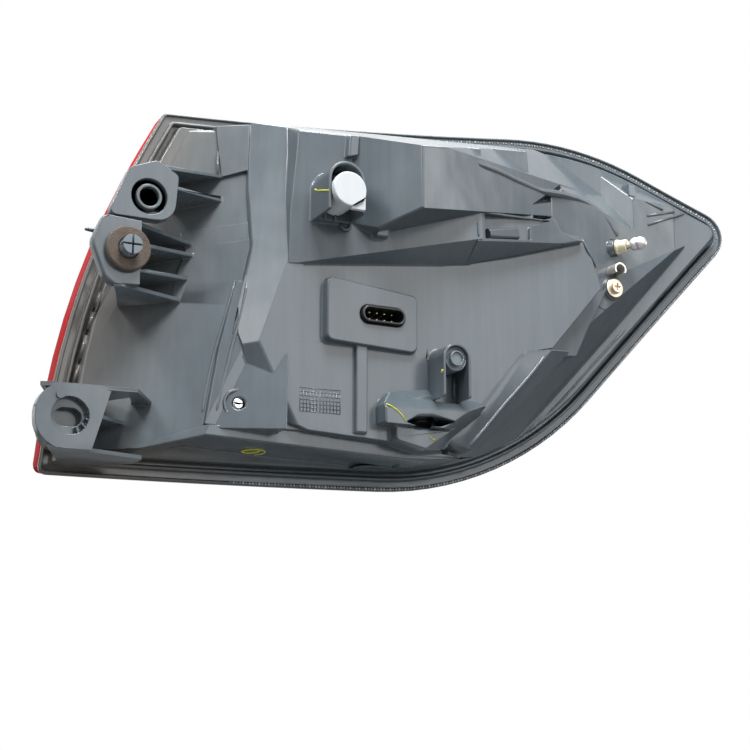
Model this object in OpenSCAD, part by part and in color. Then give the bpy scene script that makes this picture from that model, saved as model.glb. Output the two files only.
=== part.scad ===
// Rear lamp cluster seen from its body side: a moulded grey housing with three screw lugs,
// bulb bays and a plug socket, closed by a red lens that wraps round the corner of the car.
// X runs from the cut line to the tip, Z is up, and the mould is drawn along Y (lens towards +Y).

/* [Outline] */
// X of the lower corner at the cut line
cut_x = -38; // [-44:1:-32]
// Height of the bottom edge at the cut line
bottom_z = -145; // [-152:1:-140]
// X where the bottom edge and the lower slant would meet
heel_x = 242; // [232:1:252]
// Z where the bottom edge and the lower slant would meet
heel_z = -140; // [-145:1:-136]
// Radius of the long curve at the heel
heel_r = 185; // [150:5:200]
// X of the sharp tip before it is rounded
tip_x = 398; // [390:1:406]
// Z of the sharp tip before it is rounded
tip_z = 38; // [34:1:42]
// Radius of the tip
tip_r = 18; // [12:1:24]
// X of the knee in the top edge
knee_x = 292; // [284:1:300]
// Z of the knee in the top edge
knee_z = 92; // [89:1:95]
// Radius of the knee
knee_r = 165; // [140:5:190]
// X of the upper corner at the cut line
top_x = 25; // [20:1:30]
// Z of the upper corner at the cut line
top_z = 70; // [68:1:73]
// How far the middle corner of the cut line stands out before it is rounded
cut_bow = 19.5; // [16:0.5:21]
// Radius of the bowed cut line
cut_r = 520; // [480:10:540]
// Radius of the two small corners at the cut line
corner_r = 4; // [2:0.5:6]

/* [Wrap] */
// Radius at which the rim wraps round the car
wrap_r = 1150; // [1100:10:1250]
// X where the wrap is square to the mould draw
wrap_x = 60; // [50:1:70]
// Distance from the upper lug face to the rim, at that place
rim_y = 55; // [53:0.5:57]

/* [Rim] */
// Thickness of the rim flange
flange_t = 3; // [2.5:0.1:4]
// Width of the flange outside the body wall
flange_w = 11; // [10:0.5:12]
// Height of the inner rail on the flange
rail_h = 4; // [3:0.5:6]
// Width of the inner rail
rail_w = 1.8; // [1.4:0.1:2.4]
// Distance of the rail from the lens edge
rail_in = 6; // [5:0.5:7]
// Height of the low skirt between the flange and the raised forms
skirt_h = 9; // [7:0.5:11]

/* [Housing] */
// Wall thickness of the moulding
wall = 2.6; // [2.2:0.1:3]
// Thickness of the lug ribs
rib_t = 2.2; // [1.8:0.1:2.8]
// Thickness of the lug plates
lug_t = 3; // [2.5:0.1:4]
// Depth of the edge round each lug
lug_edge = 7; // [5:0.5:9]
// Radius of the bore in the upper lug
lug_bore_r = 5.2; // [4.5:0.1:6]
// Radius of the groove round each lug bore
dish_r = 9.7; // [8.5:0.1:11]
// Width of that groove
dish_w = 2.6; // [1.5:0.1:3.5]
// Depth of that groove
dish_d = 5; // [4:0.5:7]
// Length of the slot in the lower lug, between its two centres
slot_l = 4.4; // [2:0.2:7]

/* [Bulb bays] */
// Radius of the arch of the upper bay
upper_bay_r = 11; // [10:0.2:12]
// How far the upper bay stands out of the housing
upper_bay_y = -25; // [-28:0.5:-23]
// Radius of the arch of the lower bay
lower_bay_r = 8.8; // [8.6:0.2:9.4]
// How far the lower bay stands out of the housing
lower_bay_y = -21; // [-23:0.5:-19]
// Wall of the two bays
bay_wall = 1.8; // [1.4:0.1:2.2]
// Bore for the upper bulb holder
upper_hole_r = 8; // [7:0.1:8.6]
// Bore for the lower bulb holder
lower_hole_r = 6.4; // [5.8:0.1:6.8]
// Bore for the side bulb holder
side_hole_r = 8; // [7:0.1:8.2]
// Lean of the side bulb's axis into the lamp, in degrees
side_lean = 25; // [15:1:30]

/* [Plug socket] */
// Width of the socket mouth
socket_w = 27; // [24:0.5:29]
// Height of the socket mouth
socket_h = 10; // [9:0.5:12]
// Depth of the socket
socket_d = 16; // [12:0.5:18]
// Wall of the socket insert
socket_wall = 1.4; // [1:0.1:1.8]
// Number of contact pins in each row
pin_count = 4; // [2:1:5]

/* [Lens] */
// Wall of the lens
lens_t = 2.8; // [2.2:0.1:3.4]
// Height of the lens edge over the flange
lens_edge = 8; // [6:0.5:11]
// How far the lens edge stays above the bottom of the flange
lens_lift = 2.2; // [1.6:0.1:3]
// Extra height at the crown of the lens
lens_crown = 8; // [5:0.5:12]

/* [Reflectors] */
// Radius of the upper reflector bowl
upper_bowl_r = 38; // [34:1:40]
// Depth of the upper reflector bowl
upper_bowl_h = 34; // [30:1:36]
// Radius of the lower reflector bowl
lower_bowl_r = 30; // [27:0.5:31]
// Depth of the lower reflector bowl
lower_bowl_h = 32; // [28:1:34]
// Sheet of the reflector bowls
bowl_t = 1.6; // [1.2:0.1:2]

/* [Small pieces] */
// Radius of the ball on the locating stud
ball_r = 4; // [3.5:0.1:5]
// Lean of the locating stud away from the mould draw, in degrees
stud_lean = 30; // [0:1:35]
// Radius of the nylon collar under the ball
collar_r = 4; // [3.5:0.1:4.6]
// Radius of the washer under the earth screw
screw_washer_r = 5.9; // [5:0.1:6.6]
// Radius of the earth screw's head
screw_head_r = 3.6; // [3:0.1:4.2]
// Radius of the foam washer on the middle lug
foam_r = 11.8; // [10.5:0.1:13]
// Thickness of the foam washer
foam_t = 4; // [3:0.5:6]
// Radius of the slotted bush in the middle lug
bush_r = 5.2; // [4.6:0.1:6]
// Radius of the side bulb's glass
side_bulb_r = 3.8; // [3:0.1:4]
// Clearance between pieces that fit into one another
fit = 0.3; // [0.2:0.05:0.4]

/* [Hidden] */
$fn = 64;
// Centre of the upper lug bore in the drawing, which becomes the origin of the part
lug1 = [2, -2];
lug2 = [-9, -33];
lug3 = [-34.5, -122.5];
// Centre of the upper bay's arch, and of the bulb holder that sits low in it
bay1 = [105.2, 15.6];
bulb1 = [105.2, 9.5];
bay2 = [174.4, -75.9];
bay3 = [161, -1];
bay3_z = -111;
upper_seat_y = -7;
lower_seat_y = -6;
plug = [136, -52.5];
stud = [300, 13];
earth = [297.4, -13.9];
aimer = [57, -107];
far = 700;
deep = 75;

// Plain geometry
function unit(v) = v / norm(v);
function turn(v, a) = [v.x * cos(a) - v.y * sin(a), v.x * sin(a) + v.y * cos(a)];
function left_of(v) = [-v.y, v.x];
// Points of the arc of radius r that rounds corner p on the way from a to b
function rounded(a, p, b, r, n) = let(
    u = unit(a - p), w = unit(b - p),
    half = acos(u * w) / 2,
    c = p + unit(u + w) * r / sin(half),
    s = p + u * r / tan(half) - c,
    way = cross(p - a, b - p) > 0 ? 1 : -1)
    [for (i = [0 : n]) c + turn(s, way * (180 - 2 * half) * i / n)];
function area(p) = let(n = len(p)) [for (i = [0 : n - 1]) cross(p[i], p[(i + 1) % n])] * [for (i = [1 : n]) 0.5];
// The same outline with every side moved inwards by t
function inset(p, t) = let(n = len(p), way = sign(area(p))) [for (i = [0 : n - 1]) let(
    u = way * left_of(unit(p[i] - p[(i + n - 1) % n])),
    w = way * left_of(unit(p[(i + 1) % n] - p[i])))
    p[i] + t * (u + w) / (1 + u * w)];
// Closed outline of corners given as [x, z, radius, steps], moved inwards by t
function outline(corners, t = 0) = let(n = len(corners), c = inset([for (v = corners) [v.x, v.y]], t))
    [for (i = [0 : n - 1]) let(r = corners[i][2] - t)
    each r > 0 ? rounded(c[(i + n - 1) % n], c[i], c[(i + 1) % n], r, corners[i][3]) : [c[i]]];
// Plane Y = p[0] + p[1] x + p[2] z through three points given as [x, y, z]
function plane(a, b, c) = let(
    n = cross(b - a, c - a),
    sx = -n.x / n.y, sz = -n.z / n.y)
    [a.y - sx * a.x - sz * a.z, sx, sz];
function on(p, x, z) = p[0] + p[1] * x + p[2] * z;
function nearer(p, d) = [p[0] - d, p[1], p[2]];

// Extrudes an XZ outline from y_front towards the viewer, down to y_back
module drawn(y_front, y_back) {
    translate([0, y_front, 0]) rotate([90, 0, 0]) linear_extrude(y_front - y_back) children();
}
// Everything on the viewer's side of a plane, moved t towards the lens
module in_front_of(p, t = 0) {
    n = unit([p[1], -1, p[2]]);
    translate([0, p[0] + t * norm([p[1], -1, p[2]]), 0])
        rotate(a = acos(n.z), v = [-n.y, n.x, 0])
            translate([-far, -far, 0]) cube([2 * far, 2 * far, far]);
}
// One raised form: an outline drawn towards the viewer and cut back by its planes
module form(shape, planes, t = 0) {
    difference() {
        drawn(deep, -60) polygon(outline([for (c = shape) [c.x, c.y, len(c) > 2 ? c[2] : 0, len(c) > 2 ? c[3] : 0]], t));
        for (p = planes) in_front_of(p, t);
    }
}
module wrap_cylinder(r) {
    translate([wrap_x, rim_y - wrap_r, -far / 2]) cylinder(r = r, h = far, $fn = 240);
}
module wrap_shell(r_back, r_front) {
    difference() {
        wrap_cylinder(r_front);
        wrap_cylinder(r_back);
    }
}
// Puts the origin on the axis of the upper lug's bore
module seated() {
    translate([-lug1.x, 0, -lug1.y]) children();
}

// The lamp's edge, t inside the lens edge, with the bottom raised by lift
function edge(t, lift = 0) = let(
    a = [cut_x, bottom_z + lift],
    e = [top_x, top_z],
    m = (a + e) / 2 + left_of(unit(a - e)) * -cut_bow,
    corners = [[a.x, a.y, corner_r, 3], [heel_x, heel_z + lift, heel_r, 14], [tip_x, tip_z, tip_r, 9],
        [knee_x, knee_z, knee_r, 10], [e.x, e.y, corner_r, 3], [m.x, m.y, cut_r, 8]])
    outline(corners, t);

// Surfaces of the raised forms
panel = [50, -0.406, 0.192];
step_panel = [47.8, -0.406, 0.149];
screw_floor = [22, -0.08, 0.08];
plug_floor = [6, -0.05, 0];
shelf = [17.2, -0.19, 0];
shelf_end = [-36, 0.09, 0];
roof_left = [133.8, -1.185, 0];
roof_right = [-89.9, 0.358, 0];
tip_face = [-19, 0.078, 0];
// Slopes that run from the forms down to the rim
top_flank = plane([145, -38, 38], [60, 52, 73], [270, 32, 82]);
right_flank = plane([163, -31, 43], [262, 1.4, 45], [270, 32, 82]);
knee_flank = plane([290, 3.7, 36], [317, 5.7, 28], [270, 32, 82]);
tip_flank = plane([316, 5.6, 48.6], [373, 10.1, 48.6], [320, 26, 72]);
lower_flank = [-191, 0.6, -0.716];
heel_flank = [-142, 0.33, -0.87];
hood_side = plane([185, -13, -104], [162, -8, -124.6], [200, -3, -103.5]);

module raised_forms(t = 0) {
    // Panel behind the lugs, with the bright bevel at its upper corner
    form([[-60, -137], [-2, -137], [40, -121], [80, -121], [90, 20], [92, 100], [-60, 100]],
        [panel, plane([35, 52, 61], [65, 51, 69], [35, 46, 57]), plane([22, 52, 36], [33.5, 52, 61], [29, 44, 36])], t);
    form([[53, 28], [91, 41], [93, 100], [50, 100]], [nearer(panel, 2.2)], t);
    form([[33, -18], [75, -9], [80, 3], [31, -7]], [nearer(panel, 0.9)], t);
    form([[24, -50], [62, -50], [73, -9], [33, -17.5]], [step_panel], t);
    // Floor round the aiming screw, with the small step that leads to it
    form([[39, -119], [100, -119], [100, -40], [58, -36], [47, -77]], [nearer(panel, 2.5), [9, 0, 0]], t);
    form([[45, -119], [100, -119], [100, -15], [66, -15], [58, -51], [51, -83]], [screw_floor], t);
    // Floor that carries the plug, with its two flanks
    form([[94, -119], [78, -113], [63, -91], [57, -68], [58, -51], [66, -15], [66, 20], [69, 60], [72, 100],
        [230, 100], [236, 14], [271, 12], [280, -12], [281, -19], [247, -59], [226, -64], [180, -118], [176, -124]],
        [plug_floor, plane([66, 15.5, -15], [58, 13.3, -51], [82, 2, -24]),
        plane([63, 10, -91], [78, 6.8, -112], [77, 2.1, -94])], t);
    // Shelf across the middle, and its end beyond the window
    form([[82, -27], [99, -26], [147, -21], [193, -15], [193, 100], [89, 100], [86, 40], [83, 8]],
        [shelf, plane([99, -1.6, -24], [190, -19, -4], [193, -4, -15])], t);
    form([[190, -15], [219, -7], [268, 8], [251, 11], [246, 19], [228, 13], [190, 14]],
        [shelf_end, plane([190, -19, -5], [222, -16, -0.5], [219, -6, -8])], t);
    // Roof with its upright ridge, the largest form
    form([[112, 1], [134, -9], [187, 7], [228, 12], [249, 18], [268, 12], [300, 18], [322, 30], [330, 100],
        [104, 100]],
        [roof_left, roof_right, right_flank, plane([137, -9, -5], [146, -38, 2], [196, -20, 13])], t);
    // Ridge along the lower slant, the strip above it and the slope down to the rim
    form([[174, -120], [226, -63], [262, -58], [196, -124]],
        [plane([226, -5, -64], [180, -3, -118], [243, -9, -62]), plane([243, -9, -62], [192, -6, -120], [262, -2, -59])], t);
    form([[246, -62], [276, -22], [292, -15], [280, -36], [268, -60]], [[1, 0, 0]], t);
    form([[150, -140], [180, -112], [255, -50], [290, -10], [400, 45], [400, -60], [240, -155]],
        [[4, 0, 0], lower_flank, heel_flank], t);
    // Tip, where the locating stud stands
    form([[252, 12], [278, -22], [300, -32], [350, -28], [420, 30], [316, 29], [300, 14]], [tip_face, lower_flank], t);
    form([[252, 10], [300, 10], [318, 28], [316, 100], [269, 100], [262, 45], [252, 36]], [tip_face, knee_flank], t);
    form([[298, 26], [420, 28], [420, 60], [330, 100], [298, 100]],
        [tip_face, tip_flank, lower_flank, [322.7, -1, 0]], t);
    // Pad of the plug
    form([[102.5, -69.4, 4, 4], [158, -71.7, 4, 4], [158, -38.5, 4, 4], [102.5, -33, 4, 4]], [[-5.5, 0, 0]], t);
}
// Narrow forms, which are solid
module narrow_forms() {
    // Ledge under the floors and the pocket in the lower rail
    form([[-12, -138], [40, -125], [190, -131], [190, -126], [98, -117], [40, -119.5], [-2, -134]],
        [nearer(panel, 2), [9, -0.02, 0]]);
    form([[126, -150], [126, -138], [140, -130], [194, -127], [194, -150]], [[32, 0, 0]]);
    // Upright ridge by the plug
    form([[121, -119], [128, -119], [128, -60], [121, -60]], [[-3.4, 0, 0]]);
    // Hood of the side bulb and the foot under it
    form([[134, -103], [134, -114], [176, -114], [196, -104], [200, -98], [165, -91], [140, -95]],
        [[-13, 0, 0], plane([134, -13, -105], [186, -13, -103], [160, -3, -92]), hood_side]);
    form([[143, -100], [143, -122, 3, 4], [162, -126], [176, -124], [201, -103], [165, -95]], [[-8, 0, 0], hood_side]);
    // Block under the roof and bracket at the top rim
    form([[129, -9], [137, -9], [137, 0], [129, 0]], [[-13, 0, 0]]);
    form([[113, 36], [119, 38], [120, 52], [114, 52]], [[-9, 0, 0]]);
}
module body(t = 0) {
    intersection() {
        drawn(deep, -60) polygon(edge(flange_w + t));
        wrap_cylinder(wrap_r + flange_t + (t > 0 ? 1 : 0));
        difference() {
            union() {
                difference() {
                    drawn(deep, -60) polygon([[-100, -200], [450, -200], [450, 150], [-100, 150]]);
                    wrap_cylinder(wrap_r - skirt_h + t);
                }
                raised_forms(t);
                if (t == 0) narrow_forms();
            }
            in_front_of(top_flank, t);
        }
    }
}

module ring(outer, inner, r_back, r_front) {
    intersection() {
        drawn(deep + 20, -60) difference() {
            polygon(outer);
            polygon(inner);
        }
        wrap_shell(r_back, r_front);
    }
}
module rim() {
    ring(edge(0), edge(flange_w + wall), wrap_r, wrap_r + flange_t);
    ring(edge(rail_in), edge(rail_in + rail_w), wrap_r - rail_h, wrap_r + 1);
    ring(edge(0.6), edge(1.8), wrap_r - 1.6, wrap_r + 1);
}

// Upright rib from p to q, whose back edge falls from y_p to y_q
module rib(p, q, y_p, y_q) {
    d = q - p;
    translate([p.x, 0, p.y]) rotate([0, -atan2(d.y, d.x), 0])
        translate([0, 0, -rib_t / 2]) linear_extrude(rib_t)
            polygon([[-5, y_p + 1], [0, y_p], [norm(d), y_q], [norm(d), y_q + 14], [16, 56]]);
}
lug1_corners = [[-20, -14.5, 3, 3], [16, -14.5, 10, 6], [18, 12, 3, 3], [6, 19, 4, 3], [-9, 13, 6, 4]];
lug2_corners = [[-28, -30, 9, 5], [-19, -52, 8, 5], [-1.5, -51, 0, 0], [-1.5, -16, 0, 0], [-22, -15, 3, 3]];
lug3_corners = [[-52, -107, 15, 7], [-52, -139.5, 15, 7], [-23, -139.5, 0, 0], [-14, -108.5, 0, 0], [-30, -106, 4, 2]];

module lug(corners) {
    difference() {
        drawn(lug_edge, 0) polygon(outline(corners));
        drawn(lug_edge + 1, lug_t) polygon(outline(corners, rib_t));
    }
}
module lugs() {
    lug(lug1_corners);
    lug(lug2_corners);
    lug(lug3_corners);
    for (c = [lug1, lug3]) translate([c.x, 0, c.y]) rotate([-90, 0, 0]) cylinder(r = dish_r + 1.8, h = dish_d + 2.4);
    translate([lug3.x + 4, 2, lug3.y]) rotate([-90, 0, 0]) cylinder(r = dish_r + 1, h = 46);
    rib([8, 15.5], [54, 29], 0, 33);
    rib([17, 5], [53, 14], 0, 31);
    rib([-1, -29], [37, -21], 0, 30);
    rib([-1, -43], [34, -35], 0, 29);
    rib([-10, -52], [30, -48], 0, 28);
    rib([-45, -107.5], [0, -106.5], 0, 1);
    rib([0, -106.5], [14, -108], 1, 22);
    rib([-18, -122], [1, -119], 0, 26);
    rib([-40, -138.4], [9, -138], 0, 18);
    // Pointed locating peg on the side of the middle lug
    rib([-3, -17.5], [40, -14], 1, 34);
    translate([2, 22, -17.5]) rotate([0, -90, 0]) cylinder(r1 = 4, r2 = 0.8, h = 28);
    translate([-40, -1.2, -112.5]) rotate([-90, 0, 0]) cylinder(r = 2.1, h = 2);
}
module slot(r, y0, y1) {
    drawn(y1, y0) union() {
        translate([-slot_l / 2, 0]) circle(r);
        translate([slot_l / 2, 0]) circle(r);
        square([slot_l, 2 * r], center = true);
    }
}
module lug_holes() {
    translate([lug1.x, 0, lug1.y]) rotate([-90, 0, 0]) {
        translate([0, 0, -1]) difference() {
            cylinder(r = dish_r, h = dish_d + 1);
            translate([0, 0, -1]) cylinder(r = dish_r - dish_w, h = dish_d + 3);
        }
        translate([0, 0, -1]) cylinder(r = lug_bore_r, h = dish_d + 6);
    }
    translate([lug2.x, 0, lug2.y]) rotate([-90, 0, 0]) translate([0, 0, -1]) cylinder(r = bush_r - 1, h = 12);
    translate([lug3.x, 0, lug3.y]) {
        translate([0, -1, 0]) rotate([-90, 0, 0]) cylinder(r = dish_r, h = dish_d + 1);
        slot(lug_bore_r - 0.4, -1, dish_d + 6);
    }
}

// Arched bay that stands out of the housing, open at its mouth
function arch(r, drop) = concat([[r, -drop]], [for (a = [0 : 15 : 180]) r * [cos(a), sin(a)]], [[-r, -drop]]);
module bay(at, r, drop, y_mouth, floor_y) {
    translate([at.x, 0, at.y]) {
        drawn(floor_y + 8, y_mouth) polygon(arch(r, drop));
    }
}
module bay_hollow(at, r, drop, y_mouth, floor_y) {
    translate([at.x, 0, at.y]) drawn(floor_y, y_mouth - 1) polygon(arch(r - bay_wall, drop + 1));
}
// Puts a piece on the side bulb's axis
module at_side() {
    translate([bay3.x, bay3.y, bay3_z]) rotate([-side_lean, 0, 0]) children();
}
// Puts a piece on the locating stud's axis, which leans towards the tip
module at_stud() {
    translate([stud.x, on(tip_face, stud.x, 0), stud.y]) rotate([0, 0, stud_lean]) rotate([90, 0, 0]) children();
}
module housing() {
    color("#5f6a71") seated() difference() {
        union() {
            difference() {
                union() {
                    body();
                    lugs();
                    bay(bay1, upper_bay_r, 18, upper_bay_y, 4);
                    bay(bay2, lower_bay_r, 22, lower_bay_y, 0);
                    translate([aimer.x, on(screw_floor, aimer.x, aimer.y) - 1, aimer.y])
                        rotate([-90, 0, 0]) difference() {
                            cylinder(r = 8.2, h = 4);
                            translate([0, 0, -1]) cylinder(r = 7, h = 3);
                        }
                    translate([earth.x, on(tip_face, earth.x, 0) - 2, earth.y])
                        rotate([-90, 0, 0]) cylinder(r = screw_washer_r + 1, h = 8);
                    at_stud() translate([0, 0, -8]) cylinder(r1 = collar_r + 3, r2 = collar_r + 0.6, h = 10);
                }
                body(wall);
            }
            rim();
            // Floor of the pocket at the end of the shelf
            difference() {
                drawn(-10.5, -30) polygon([[192, -5], [230, 1], [246, 17], [192, 14]]);
                in_front_of(nearer(shelf_end, -1));
            }
        }
        lug_holes();
        bay_hollow(bay1, upper_bay_r, 18, upper_bay_y, upper_seat_y);
        bay_hollow(bay2, lower_bay_r, 22, lower_bay_y, lower_seat_y);
        translate([bulb1.x, -40, bulb1.y]) rotate([-90, 0, 0]) cylinder(r = upper_hole_r, h = 80);
        translate([bay2.x, -40, bay2.y]) rotate([-90, 0, 0]) cylinder(r = lower_hole_r, h = 80);
        at_side() translate([0, 0, -1]) cylinder(r = side_hole_r, h = 13);
        drawn(0, -30) polygon([[147, -112.5], [153, -109], [162, -108], [171, -108.6], [178, -110], [168, -113.5], [156, -114.5]]);
        // Pocket at the end of the shelf, round its bar
        difference() {
            drawn(-13, -30) polygon([[195, 12.5], [242, 16], [227, 10], [227, 1.8], [195, -2.6]]);
            translate([198.5, -14.6, 1.2]) rotate([0, 80, 3]) cylinder(r = 3.7, h = 21);
        }
        // Mouth for the plug socket
        translate([plug.x, 0, plug.y]) drawn(20, -30) polygon(plug_line(0));
        at_stud() translate([0, 0, -10]) cylinder(r = 2 + fit, h = 20);
        translate([earth.x, -40, earth.y]) rotate([-90, 0, 0]) cylinder(r = 1.6, h = 60);
        translate([aimer.x, -40, aimer.y]) rotate([-90, 0, 0]) cylinder(r = 3.3, h = 80);
    }
}
function plug_line(grow) = outline([
    [-socket_w / 2 - grow, -socket_h / 2 - grow, socket_h / 2 + grow - 0.2, 8],
    [socket_w / 2 + grow, -socket_h / 2 - grow, socket_h / 2 + grow - 0.2, 8],
    [socket_w / 2 + grow, socket_h / 2 + grow, socket_h / 2 + grow - 0.2, 8],
    [-socket_w / 2 - grow, socket_h / 2 + grow, socket_h / 2 + grow - 0.2, 8]]);

// Front of the lens: a barrel that follows the wrap, with a crown from bottom to top
crown_z = (top_z + bottom_z) / 2 + 4;
function crown(z) = lens_edge + flange_t + lens_crown * (1 - pow((z - crown_z) / 125, 2));
module lens_barrel(t) {
    translate([wrap_x, rim_y - wrap_r, 0]) rotate([0, 0, 60]) rotate_extrude(angle = 60, $fn = 240)
        polygon(concat([[wrap_r - 200, -170], [wrap_r - 200, 120]],
            [for (z = [120 : -29 : -170]) [wrap_r + crown(z) - t, z]]));
}
module lens_shell() {
    intersection() {
        drawn(deep + 60, -60) polygon(edge(0, lens_lift));
        difference() {
            lens_barrel(0);
            wrap_cylinder(wrap_r + flange_t);
            intersection() {
                drawn(deep + 60, -60) polygon(edge(lens_t + 1, lens_lift));
                lens_barrel(lens_t);
            }
        }
    }
}
// Clear band of the lens, in front of the reversing and turn lamps
module window_block(grow) {
    drawn(deep + 60, -60) polygon(outline([[70 - grow, -112 - grow, 6, 4], [262 + grow, -92 - grow, 10, 4],
        [292 + grow, -40 + grow, 8, 4], [70 - grow, -54 + grow, 6, 4]]));
}
module outer_lens() {
    color("#9b1116") seated() difference() {
        lens_shell();
        intersection() {
            window_block(0);
            difference() {
                lens_barrel(-5);
                wrap_cylinder(wrap_r + flange_t + 1);
            }
        }
    }
}
module clear_window() {
    color("#e4e8ea") seated() intersection() {
        lens_shell();
        window_block(0);
    }
}

module inner_bezel() {
    color("#8b9196") seated() intersection() {
        drawn(deep + 20, -60) difference() {
            polygon(edge(flange_w + wall + fit));
            translate(bulb1) circle(upper_bowl_r + fit);
            translate(bay2) circle(lower_bowl_r + fit);
        }
        wrap_shell(wrap_r - 1, wrap_r + 1);
    }
}
// Pressed bowl with a turned lip, whose neck stands behind a bulb
module bowl(r, neck_r, h, t) {
    rotate([90, 0, 0]) rotate_extrude($fn = 96) {
        polygon(concat(
            [for (i = [0 : 8]) let(k = i / 8) [neck_r + (r - neck_r) * k, h * (1 - k * k)]],
            [for (i = [8 : -1 : 0]) let(k = i / 8) [neck_r + (r - neck_r) * k, h * (1 - k * k) + t]]));
    }
}
module upper_reflector() {
    color("#c9ced2") seated() translate([bulb1.x, rim_y - 3, bulb1.y]) bowl(upper_bowl_r, upper_hole_r + 2, upper_bowl_h, bowl_t);
}
module lower_reflector() {
    color("#c9ced2") seated() intersection() {
        translate([bay2.x, rim_y - 9, bay2.y]) bowl(lower_bowl_r, lower_hole_r + 2, lower_bowl_h, bowl_t);
        body(wall + fit);
    }
}

module bulb(at, y_base, r_base, r_glass, h_glass) {
    translate([at.x, y_base, at.y]) rotate([-90, 0, 0]) {
        cylinder(r = r_base, h = 12);
        translate([0, 0, 12]) cylinder(r = r_glass, h = h_glass - 12 - r_glass);
        translate([0, 0, h_glass - r_glass]) sphere(r_glass);
    }
}
module upper_bulb() {
    color("#c8641e") seated() bulb(bulb1, 6 + fit, 6, 7, 34);
}
module lower_bulb() {
    color("#dfe4e6") seated() bulb(bay2, 2, 4.4, 5, 30);
}
module side_bulb() {
    color("#dfe4e6") seated() at_side() translate([0, 0, 12]) {
        cylinder(r = side_bulb_r, h = 8);
        translate([0, 0, 8]) sphere(side_bulb_r);
    }
}

// Bulb holder: a disc in the bay's mouth and a barrel through the bore, with three bayonet lugs
module upper_bulb_holder() {
    color("#e9eef2") seated() translate([bulb1.x, 0, bulb1.y]) rotate([-90, 0, 0]) difference() {
        union() {
            translate([0, 0, upper_bay_y - 4]) cylinder(r = 9.8, h = 4 - fit);
            translate([1, 4, upper_bay_y - 3]) cube([8.5, 7, 3 - fit]);
            translate([0, 0, upper_bay_y - 1]) cylinder(r = upper_bay_r - bay_wall - fit, h = upper_seat_y - upper_bay_y + 1 - fit);
            translate([0, 0, upper_seat_y - 2]) cylinder(r = upper_hole_r - fit, h = 17);
        }
        translate([0, 0, 6]) cylinder(r = 6 + fit, h = 12);
    }
}
module lower_bulb_holder() {
    color("#7d878d") seated() translate([bay2.x, lower_bay_y, bay2.y]) rotate([-90, 0, 0]) {
        translate([0, 0, 1]) cylinder(r = 3.7, h = 4);
        translate([0, 0, 3]) cylinder(r = lower_bay_r - bay_wall - fit, h = lower_seat_y - lower_bay_y - 3 - fit);
        translate([0, 0, lower_seat_y - lower_bay_y - 1]) cylinder(r = lower_hole_r - fit, h = 9);
    }
}
module side_bulb_holder() {
    color("#1c1e20") seated() at_side() {
        translate([0, 0, 1]) cylinder(r = side_hole_r - fit, h = 11);
        translate([0, 0, -1]) cylinder(r = 5, h = 5);
    }
}

module plug_socket() {
    color("#16181a") seated() translate([plug.x, 0, plug.y]) difference() {
        drawn(socket_d - 5, -8) polygon(plug_line(-fit));
        drawn(socket_d - 5 - socket_wall, -9) polygon(plug_line(-fit - socket_wall));
    }
}
module contact_pins() {
    color("#c9a14a") seated() translate([plug.x, 0, plug.y])
        for (i = [0 : pin_count - 1], row = [-1, 1])
            translate([(i - (pin_count - 1) / 2) * 4.6 - 0.5, -3, row * 1.9 - 0.4])
                cube([1, socket_d - 5 - socket_wall + 3, 0.8]);
}

module ball_stud() {
    color("#d9d6d2") seated() at_stud() {
        translate([0, 0, -6]) cylinder(r = 2, h = 18);
        translate([0, 0, 14.5]) difference() {
            sphere(ball_r);
            translate([-5, -5, ball_r - 0.8]) cube([10, 10, 4]);
        }
    }
}
module stud_collar() {
    color("#e6e2c6") seated() at_stud() difference() {
        union() {
            translate([0, 0, 2 + fit]) cylinder(r = collar_r, h = 7);
            translate([0, 0, 2 + fit]) cylinder(r = collar_r + 0.8, h = 1.6);
        }
        translate([0, 0, 1]) cylinder(r = 2 + fit, h = 12);
    }
}
module earth_screw() {
    color("#d8c9b4") seated() translate([earth.x, on(tip_face, earth.x, 0) - 2 - fit, earth.y]) rotate([90, 0, 0]) {
        cylinder(r = screw_washer_r, h = 1.2);
        difference() {
            cylinder(r = screw_head_r, h = 4);
            for (a = [0, 90]) rotate([0, 0, a]) translate([-2.2, -0.45, 2.4]) cube([4.4, 0.9, 3]);
        }
        translate([0, 0, -8]) cylinder(r = 1.4, h = 9);
    }
}
// Curled strip of sheet metal beside the screw
module wire_clip() {
    color("#cfc8bd") seated() translate([earth.x + 0.5, on(tip_face, earth.x, 0) - fit, earth.y + 10.5])
        rotate([90, 0, 0]) difference() {
            cylinder(r = 4.2, h = 9);
            translate([0, 0, -1]) cylinder(r = 3.2, h = 11);
            translate([-5, -6, -1]) cube([10, 4, 11]);
        }
}
module foam_washer() {
    color("#7a716a") seated() translate([lug2.x, -fit, lug2.y]) rotate([90, 0, 0]) difference() {
        cylinder(r = foam_r, h = foam_t);
        translate([0, 0, -1]) cylinder(r = bush_r + fit, h = foam_t + 2);
    }
}
module lug_bush() {
    color("#77828a") seated() translate([lug2.x, 0, lug2.y]) rotate([90, 0, 0]) difference() {
        union() {
            translate([0, 0, -8]) cylinder(r = bush_r - 1 - fit, h = 10);
            translate([0, 0, 0.1]) cylinder(r = bush_r, h = 11);
        }
        translate([-6, -0.5, 6]) cube([12, 1, 6]);
        translate([-0.5, -6, 6]) cube([1, 12, 6]);
    }
}
module aiming_screw() {
    color("#d3d6d8") seated() translate([aimer.x, on(screw_floor, aimer.x, aimer.y), aimer.y]) rotate([90, 0, 0])
        difference() {
            union() {
                translate([0, 0, -8]) cylinder(r = 3, h = 9);
                cylinder(r1 = 3, r2 = 2.4, h = 1.8);
            }
            translate([-3.5, -0.5, 0.8]) cube([7, 1, 2]);
        }
}

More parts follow.
